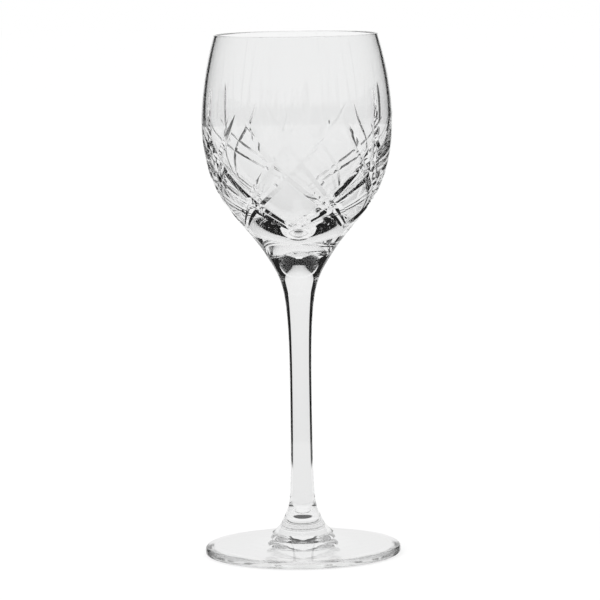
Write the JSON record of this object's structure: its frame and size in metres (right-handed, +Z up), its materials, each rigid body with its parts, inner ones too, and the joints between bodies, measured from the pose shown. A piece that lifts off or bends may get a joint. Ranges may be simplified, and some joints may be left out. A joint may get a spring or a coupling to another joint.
{
  "type": "stemmed dram glass",
  "caption": "Small clear stemmed dram glass with an egg-shaped wheel-cut bowl, a slender drawn stem and a round foot, for serving spirits.",
  "frame": {"origin": "centre of the foot's underside, on the plane that the glass stands on", "axes": "+Z up along the glass's axis of turning, +X to the right and -Y towards the viewer of the picture"},
  "size_m": [0.0546, 0.0546, 0.145],
  "materials": {
    "bowl_glass": "fire-polished clear glass with bright polished mitre cuts",
    "stem_glass": "fire-polished clear glass",
    "foot_glass": "fire-polished clear glass, ground flat under the foot"
  },
  "bodies": {
    "root": {"bowl": "bowl_glass", "stem": "stem_glass", "foot": "foot_glass"}
  },
  "joints": []
}
